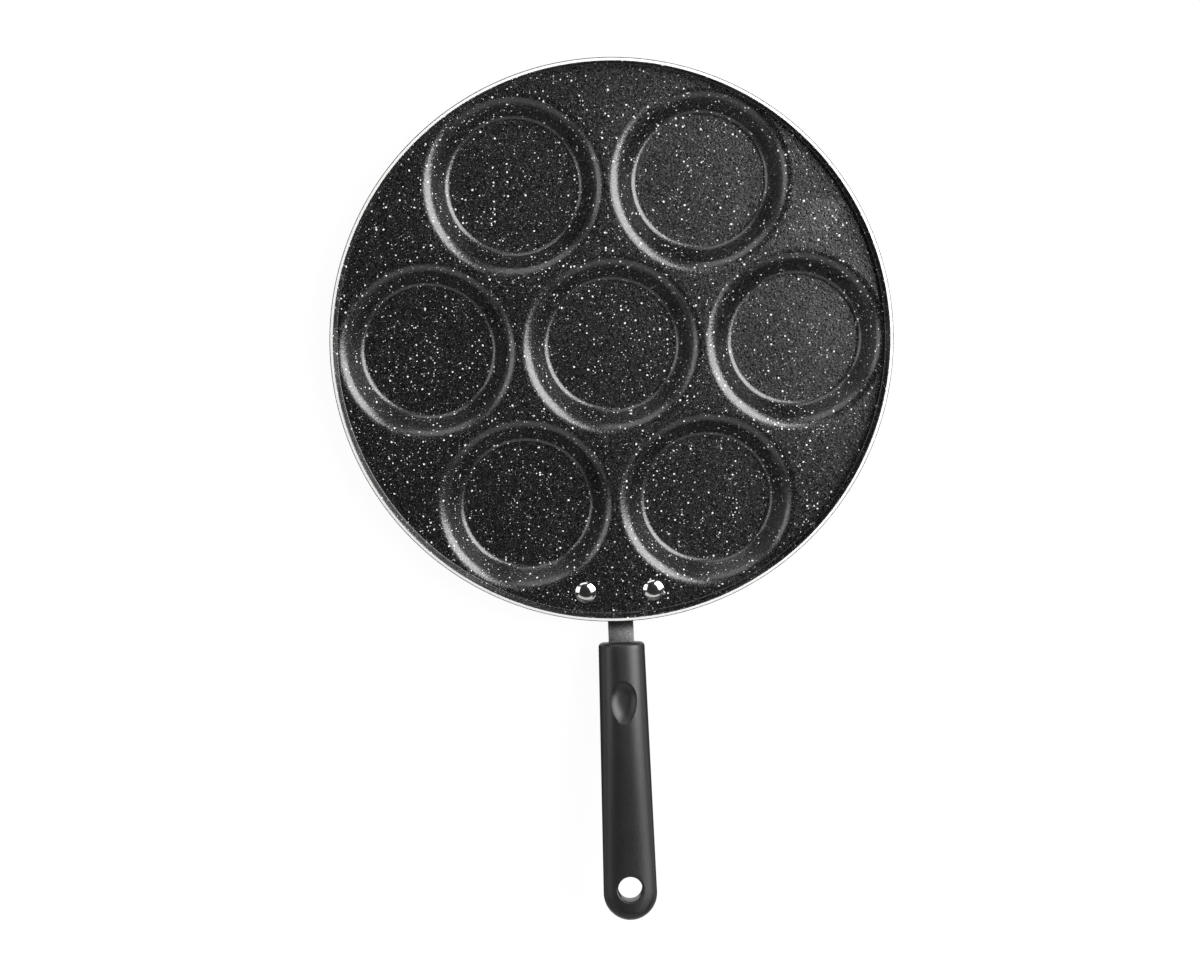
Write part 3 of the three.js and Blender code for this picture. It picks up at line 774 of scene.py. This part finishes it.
def strap_line():
    corners = [
        Vector((neck_y, flange_middle)),
        Vector((-(foot_radius + STRAP_PAST_FOOT), flange_middle)),
        on_grip_line(-STRAP_BEFORE_GRIP),
        on_grip_line(TANG_LENGTH),
    ]
    line = [corners[0]]
    for before, corner, after in zip(corners, corners[1:], corners[2:]):
        run_in = min(STRAP_BEND, (before - corner).length * BEND_SHARE)
        start = corner + (before - corner).normalized() * run_in
        end = corner + (after - corner).normalized() * STRAP_BEND
        line += bend(start, corner, end)
    return line + [corners[-1]]


def flange_outline():
    neck = STRAP_WIDTH / 2
    flare = neck + min(NECK_FLARE, RIVET_X - neck)
    left = []
    for angle in spaced(QUARTER, QUARTER + math.pi, EAR_STEPS):
        x = -RIVET_X + EAR_RADIUS * math.cos(angle)
        left.append(Vector((x, RIVET_Y + EAR_RADIUS * math.sin(angle))))
    flare_start = Vector((-flare, flange_outside))
    flare_corner = Vector((-neck, flange_outside))
    left += bend(flare_start, flare_corner, Vector((-neck, neck_y)))
    right = [Vector((-point.x, point.y)) for point in reversed(left)]
    return left + right


def handle_bracket():
    points = [mm(point.x, point.y, flange_middle) for point in flange_outline()]
    bracket = draw_line("handle_strap", points)
    bpy.ops.mesh.select_all(action="SELECT")
    bpy.ops.mesh.edge_face_add()

    def on_neck(edge):
        return all(abs(vert.co.y - neck_y * MM) < ON_NECK for vert in edge.verts)

    pick(bracket, "edges", on_neck)
    line = strap_line()
    for here, there in zip(line, line[1:]):
        step = mm(0, there.x - here.x, there.y - here.y)
        bpy.ops.mesh.extrude_region_move(TRANSFORM_OT_translate={"value": step})
    close_up()
    bpy.ops.object.mode_set(mode="OBJECT")
    modify(bracket, "SOLIDIFY", thickness=STRAP_THICKNESS * MM, offset=0, use_even_offset=True)
    soften_edges(bracket, STRAP_EDGE, STRAP_EDGE_STEPS)
    return bracket


handle_strap = handle_bracket()
hand_over(handle_strap, "handle_bracket", "bracket_steel", strap_plate)


# Grip: one ring, pulled out and resized from the front face to the round far end
SECTION_STEPS = 96
FRONT_STEPS = 8
LENGTH_STEPS = 66
END_STEPS = 26
grip_end_radius = GRIP_END_WIDTH / 2
end_centre = GRIP_LENGTH - grip_end_radius


def smooth_share(start, end, value):
    share = min(1, max(0, (value - start) / (end - start)))
    return share * share * (3 - 2 * share)


def rounded_end(radius, distance):
    return arc_rise(radius, max(0, radius - distance))


def grip_half_width(u):
    if u > end_centre:
        return math.sqrt(max(0, grip_end_radius ** 2 - (u - end_centre) ** 2))
    straight = (GRIP_FRONT_WIDTH + (GRIP_END_WIDTH - GRIP_FRONT_WIDTH) * u / end_centre) / 2
    return straight - rounded_end(GRIP_FRONT_ROUND, u)


def grip_half_height(u):
    taper = smooth_share(TANG_LENGTH / 2, GRIP_LENGTH - HOLE_FROM_END, u)
    straight = (GRIP_FRONT_HEIGHT + (GRIP_END_HEIGHT - GRIP_FRONT_HEIGHT) * taper) / 2
    far_round = rounded_end(GRIP_END_ROUND, GRIP_LENGTH - u)
    return straight - rounded_end(GRIP_FRONT_ROUND, u) - far_round


def grip_crown(u, v):
    """Height of the grip's upper face over its middle line."""
    share = min(1, abs(v) / grip_half_width(u))
    return grip_half_height(u) * (1 - share ** GRIP_SECTION_POWER) ** (1 / GRIP_SECTION_POWER)


def bulge(value):
    return math.copysign(abs(value) ** (2 / GRIP_SECTION_POWER), value)


def grip_stations():
    front_turns = spaced(0, QUARTER, FRONT_STEPS)
    front = [GRIP_FRONT_ROUND * (1 - math.cos(turned)) for turned in front_turns]
    far_turns = spaced(0, QUARTER, END_STEPS + 1)[1:-1]
    far = [end_centre + grip_end_radius * math.sin(turned) for turned in far_turns]
    return front + spaced(GRIP_FRONT_ROUND, end_centre, LENGTH_STEPS)[1:] + far


def grip_blank():
    bpy.ops.object.select_all(action="DESELECT")
    bpy.ops.mesh.primitive_circle_add(vertices=SECTION_STEPS, radius=MM, fill_type="NOTHING")
    grip = bpy.context.object
    grip.name = grip.data.name = "grip_moulding"
    bpy.ops.object.mode_set(mode="EDIT")
    stations = grip_stations()
    front = stations[0]
    ring = bmesh.from_edit_mesh(grip.data)
    for vert in ring.verts:
        turned = math.atan2(vert.co.y, vert.co.x)
        v = grip_half_width(front) * bulge(math.cos(turned))
        w = grip_half_height(front) * bulge(math.sin(turned))
        vert.co = mm(front, v, w)
    bmesh.update_edit_mesh(grip.data)
    bpy.ops.mesh.select_all(action="SELECT")
    for here, there in zip(stations, stations[1:]):
        bpy.ops.mesh.extrude_region_move(TRANSFORM_OT_translate={"value": mm(there - here, 0, 0)})
        wider = grip_half_width(there) / grip_half_width(here)
        higher = grip_half_height(there) / grip_half_height(here)
        bpy.ops.transform.resize(value=(1, wider, higher), center_override=mm(there, 0, 0))
    tip = mm(GRIP_LENGTH - stations[-1], 0, 0)
    bpy.ops.mesh.extrude_region_move(TRANSFORM_OT_translate={"value": tip})
    bpy.ops.mesh.merge(type="CENTER")
    return grip


def open_patch(covers):
    """Takes out the faces that a patch covers and selects the edge that is left open."""
    pick(handle_grip, "faces", lambda face: covers(face.calc_center_median() / MM))
    mesh = bmesh.from_edit_mesh(handle_grip.data)
    side = next(face for face in mesh.faces if face.select).normal.z
    bpy.ops.mesh.delete(type="FACE")
    pick(handle_grip, "edges", lambda edge: edge.is_boundary and edge.verts[0].co.z * side > 0)


def pull_in(loops):
    """Pulls the selected edge inwards, once for each loop, to the points that the loop gives."""
    for loop in loops:
        bpy.ops.mesh.extrude_region_move()
        mesh = bmesh.from_edit_mesh(handle_grip.data)
        for vert in mesh.verts:
            if vert.select:
                vert.co = mm(*loop(vert.co / MM))
        bmesh.update_edit_mesh(handle_grip.data)


def close_in(centre, outline, side, count):
    """Loops on the grip's upper or lower face that close in on an outline around a centre."""
    def loop_with(left):
        def move(point):
            angle = math.atan2(point.y, point.x - centre)
            radius = math.hypot(point.y, point.x - centre)
            radius += (outline(angle) - radius) / left
            u, v = centre + radius * math.cos(angle), radius * math.sin(angle)
            return u, v, side * grip_crown(u, v)
        return move
    return [loop_with(count - i) for i in range(count)]


def round_over(centre, radius, edge, side, count):
    """Loops that turn from the grip's face into a round hole over a rounded edge."""
    def loop_with(turned):
        def move(point):
            angle = math.atan2(point.y, point.x - centre)
            start = radius + edge
            face = grip_crown(centre + start * math.cos(angle), start * math.sin(angle))
            reach = radius + edge * (1 - math.sin(turned))
            u, v = centre + reach * math.cos(angle), reach * math.sin(angle)
            return u, v, side * (face - edge * (1 - math.cos(turned)))
        return move
    return [loop_with(turned) for turned in spaced(0, QUARTER, count)[1:]]


def straight_to(centre, radius, height):
    """One loop of a round hole at a given height."""
    def move(point):
        angle = math.atan2(point.y, point.x - centre)
        return centre + radius * math.cos(angle), radius * math.sin(angle), height
    return move


def dimple_outline(angle):
    length = DIMPLE_FAR if math.cos(angle) > 0 else DIMPLE_NEAR
    return 1 / math.hypot(math.cos(angle) / length, 2 * math.sin(angle) / DIMPLE_WIDTH)


def dimple_bowl():
    """Loops of the hollow: a crisp edge, a short steep side and a shallow middle."""
    floor = GRIP_FRONT_HEIGHT / 2 - DIMPLE_DEPTH

    def loop_with(share):
        def move(point):
            angle = math.atan2(point.y, point.x - DIMPLE_FROM_FRONT)
            along = dimple_outline(angle) * math.cos(angle)
            across = dimple_outline(angle) * math.sin(angle)
            edge = grip_crown(DIMPLE_FROM_FRONT + along, across)
            height = floor + (edge - floor) * share ** DIMPLE_POWER
            return DIMPLE_FROM_FRONT + along * share, across * share, height
        return move
    turns = spaced(0, QUARTER, BOWL_LOOPS + 1)[1:-1]
    return [loop_with(math.cos(turned)) for turned in turns]


def pocket_loops():
    """Loops from the front face's outline to the mouth of the tang's pocket, and into it."""
    half_width = STRAP_WIDTH / 2 + SLIP

    def loop_with(left, depth, room):
        def move(point):
            angle = math.atan2(point.z, point.y)
            across = abs(math.cos(angle) / (half_width + room)) ** POCKET_POWER
            upward = abs(math.sin(angle) / (pocket_half + room)) ** POCKET_POWER
            mouth = (across + upward) ** (-1 / POCKET_POWER)
            radius = math.hypot(point.y, point.z)
            radius += (mouth - radius) / left
            return depth, radius * math.cos(angle), radius * math.sin(angle)
        return move
    face = [loop_with(FRONT_LOOPS - i, 0, POCKET_EDGE) for i in range(FRONT_LOOPS)]
    return face + [loop_with(1, POCKET_EDGE, 0), loop_with(1, TANG_LENGTH + SLIP, 0)]


PATCH_LOOPS = 8
BOWL_LOOPS = 14
FRONT_LOOPS = 5
ROUND_LOOPS = 6
hole_centre = GRIP_LENGTH - HOLE_FROM_END
pocket_half = STRAP_THICKNESS / 2 + SLIP
ledge_bottom = -pocket_half - LEDGE
recess_radius = SCREW_HEAD_RADIUS + RECESS_ROOM

# Patches of the grip's face that are opened and worked again
DIMPLE_PATCH_FROM = 14
DIMPLE_PATCH_TO = 44
PATCH_HALF_WIDTH = 8.6
SCREW_PATCH_HALF = 9
HOLE_PATCH_HALF = 9.6


def on_dimple_patch(p):
    above = p.z > pocket_half + SLIP
    return above and DIMPLE_PATCH_FROM < p.x < DIMPLE_PATCH_TO and abs(p.y) < PATCH_HALF_WIDTH


def on_screw_patch(p):
    near = abs(p.x - SCREW_FROM_FRONT) < SCREW_PATCH_HALF and abs(p.y) < PATCH_HALF_WIDTH
    return near and p.z < ledge_bottom


def on_hole_patch(p):
    return abs(p.x - hole_centre) < HOLE_PATCH_HALF and abs(p.y) < HOLE_PATCH_HALF


handle_grip = grip_blank()
pick(handle_grip, "edges", lambda edge: edge.is_boundary)
pull_in(pocket_loops())
bpy.ops.mesh.edge_face_add()

open_patch(on_dimple_patch)
pull_in(close_in(DIMPLE_FROM_FRONT, dimple_outline, 1, PATCH_LOOPS) + dimple_bowl())
bpy.ops.mesh.merge(type="CENTER")

open_patch(on_screw_patch)
pull_in(
    close_in(SCREW_FROM_FRONT, lambda angle: recess_radius + RECESS_EDGE, -1, PATCH_LOOPS)
    + round_over(SCREW_FROM_FRONT, recess_radius, RECESS_EDGE, -1, ROUND_LOOPS)
    + [
        straight_to(SCREW_FROM_FRONT, recess_radius, ledge_bottom),
        straight_to(SCREW_FROM_FRONT, SCREW_RADIUS + SLIP, ledge_bottom),
        straight_to(SCREW_FROM_FRONT, SCREW_RADIUS + SLIP, ledge_bottom + LEDGE * LEDGE_BORE_SHARE),
    ]
)
bpy.ops.mesh.edge_face_add()

for side in (1, -1):
    open_patch(lambda p: on_hole_patch(p) and p.z * side > 0)
    pull_in(
        close_in(hole_centre, lambda angle: HOLE_RADIUS + HOLE_EDGE, side, PATCH_LOOPS)
        + round_over(hole_centre, HOLE_RADIUS, HOLE_EDGE, side, ROUND_LOOPS)
    )
pick(handle_grip, "edges", lambda edge: edge.is_boundary)
bpy.ops.mesh.bridge_edge_loops()
close_up()
bpy.ops.object.mode_set(mode="OBJECT")
place(handle_grip, grip_place)
hand_over(handle_grip, "handle_grip", "grip_moulding", moulding, smooth=40)


# Screw: low domed head with a cross recess, and a shank up into the tang
washer_top = ledge_bottom - SEAT
washer_bottom = washer_top - WASHER_HEIGHT
head_top = washer_bottom - SEAT
head_bottom = head_top - SCREW_HEAD_HEIGHT
screw_place = grip_place @ Matrix.Translation(mm(SCREW_FROM_FRONT, 0, 0))
SCREW_STEPS = 64
SMALL_EDGE_STEPS = 2


def screw_profile():
    shank_top = STRAP_THICKNESS / 2 + SCREW_PAST_TANG
    dome_height = SCREW_HEAD_HEIGHT - SCREW_HEAD_EDGE
    dome = []
    for turned in spaced(0, QUARTER, DOME_STEPS):
        height = head_bottom + dome_height * (1 - math.cos(turned))
        dome.append((SCREW_HEAD_RADIUS * math.sin(turned), height))
    seat = [(SCREW_HEAD_RADIUS, head_top), (SCREW_RADIUS, head_top)]
    shank = [(SCREW_RADIUS, shank_top), (0, shank_top)]
    return dome + seat + shank


def cross_bar(turned):
    bpy.ops.object.select_all(action="DESELECT")
    bpy.ops.mesh.primitive_cube_add(size=1, location=mm(0, 0, head_bottom), rotation=(0, 0, turned))
    bar = bpy.context.object
    bar.scale = mm(SCREW_CROSS_LENGTH, SCREW_CROSS_WIDTH, 2 * SCREW_CROSS_DEPTH)
    bpy.ops.object.transform_apply(location=True, rotation=True, scale=True)
    soften_edges(bar, SCREW_CROSS_EDGE, SMALL_EDGE_STEPS)
    return bar


handle_screw = turn("handle_screw_head", screw_profile(), SCREW_STEPS)
for turned in (0, QUARTER):
    bar = cross_bar(turned)
    modify(handle_screw, "BOOLEAN", object=bar, operation="DIFFERENCE", solver="EXACT")
    bpy.data.objects.remove(bar)
edit(handle_screw)
close_up()
bpy.ops.object.mode_set(mode="OBJECT")
place(handle_screw, screw_place)
hand_over(handle_screw, "handle_screw", "screw_steel", zinc)

# Spring washer: a square profile spun not quite all the way round
washer_inside = SCREW_RADIUS + SLIP
washer_profile = [
    (washer_inside, washer_bottom),
    (WASHER_RADIUS, washer_bottom),
    (WASHER_RADIUS, washer_top),
    (washer_inside, washer_top),
    (washer_inside, washer_bottom),
]
spring_washer = turn("spring_washer_ring", washer_profile, SCREW_STEPS, FULL_TURN - WASHER_SPLIT)
edit(spring_washer)
bpy.ops.mesh.select_all(action="SELECT")
bpy.ops.mesh.fill_holes(sides=4)
close_up()
bpy.ops.object.mode_set(mode="OBJECT")
soften_edges(spring_washer, WASHER_EDGE, SMALL_EDGE_STEPS)
place(spring_washer, screw_place)
hand_over(spring_washer, "spring_washer", "screw_steel", zinc)


# Camera
camera = bpy.data.objects.new("camera", bpy.data.cameras.new("camera"))
bpy.context.collection.objects.link(camera)
camera.data.sensor_width = CAMERA_SENSOR
camera.data.lens = CAMERA_LENS
camera_turn = Euler([math.radians(angle) for angle in CAMERA_TURN])
camera.matrix_world = Matrix.Translation(mm(*CAMERA_PLACE)) @ camera_turn.to_matrix().to_4x4()
bpy.context.scene.camera = camera


# Studio floor: white to the camera and in reflections, with a faint shadow, and clear from below
FLOOR_SIZE = 60  # metres
FLOOR_DROP = 0.05
FLOOR_TINT = "#F2F2F2"
FLOOR_WHITE = 1.03
FLOOR_WHITE_SHARE = 0.92


def floor_finish():
    finish, tree, _ = new_finish("Matt white floor")
    path = add(tree, "LightPath")
    mirrored = add(
        tree, "Math", [(0, path.outputs["Is Camera Ray"]), (1, path.outputs["Is Glossy Ray"])],
        operation="MAXIMUM",
    )
    seen = add(
        tree, "Math", [(0, mirrored.outputs[0]), (1, path.outputs["Is Transmission Ray"])],
        operation="MAXIMUM",
    )
    share = add(tree, "Math", [(0, seen.outputs[0])], [(1, FLOOR_WHITE_SHARE)], operation="MULTIPLY")
    matt = add(tree, "BsdfDiffuse", (), [("Color", linear(FLOOR_TINT))])
    white = add(tree, "Emission", (), [("Color", (1, 1, 1, 1)), ("Strength", FLOOR_WHITE)])
    mixed = add(
        tree, "MixShader", [(0, share.outputs[0]), (1, matt.outputs[0]), (2, white.outputs[0])],
    )
    face = add(tree, "NewGeometry")
    clear = add(tree, "BsdfTransparent")
    sided = add(
        tree, "MixShader",
        [(0, face.outputs["Backfacing"]), (1, mixed.outputs[0]), (2, clear.outputs[0])],
    )
    add(tree, "OutputMaterial", [("Surface", sided.outputs[0])])
    return finish


bpy.ops.object.select_all(action="DESELECT")
bpy.ops.mesh.primitive_plane_add(size=FLOOR_SIZE, location=mm(0, 0, -FLOOR_DROP))
floor = bpy.context.object
floor.name = "studio_floor"
floor.data.materials.append(floor_finish())


# Studio wall: white at the horizon and nearly black overhead
WALL = [(0, 1), (0.12, 0.35), (0.4, 0.025), (1, 0.025)]  # height of a direction, brightness


def grey(level):
    return (level, level, level, 1)


world = bpy.data.worlds.new("studio")
bpy.context.scene.world = world
world.use_nodes = True
sky = world.node_tree
sky.nodes.clear()
direction = add(sky, "TexCoord")
upward = add(sky, "SeparateXYZ", [("Vector", direction.outputs["Generated"])])
fade = add(sky, "ValToRGB", [("Fac", upward.outputs["Z"])])
stops = fade.color_ramp.elements
stops[0].color = grey(WALL[0][1])
stops[1].color = grey(WALL[-1][1])
for height, level in WALL[1:-1]:
    stops.new(height).color = grey(level)
around = add(sky, "Background", [("Color", fade.outputs["Color"])])
add(sky, "OutputWorld", [("Surface", around.outputs["Background"])])


# Lamps: one large soft box at the right, two weaker ones at the left and behind, and a front card
LAMPS = [
    # name, azimuth and elevation in degrees, distance, width and height in metres, brightness
    ("key_soft_box", 21, 46, 1.2, 1.0, 1.09, 6.6),
    ("left_strip", 176, 42, 1.2, 0.7, 0.64, 2.0),
    ("far_strip", 106, 30, 1.2, 1.0, 0.8, 1.4),
    ("front_card", 262, 38, 1.3, 1.9, 0.85, 0.6),
]


def lamp(name, azimuth, elevation, distance, width, height, brightness):
    """A soft box that looks at the pan, with its brightness per area given."""
    data = bpy.data.lights.new(name, "AREA")
    data.shape = "RECTANGLE"
    data.size, data.size_y = width, height
    data.energy = brightness * width * height * math.pi
    box = bpy.data.objects.new(name, data)
    bpy.context.collection.objects.link(box)
    across, up = math.radians(azimuth), math.radians(elevation)
    level = math.cos(up)
    outward = Vector((math.cos(across) * level, math.sin(across) * level, math.sin(up)))
    box.location = outward * distance
    box.rotation_mode = "QUATERNION"
    box.rotation_quaternion = outward.to_track_quat("Z", "Y")


for settings in LAMPS:
    lamp(*settings)

view = bpy.context.scene.view_settings
view.view_transform = "Standard"
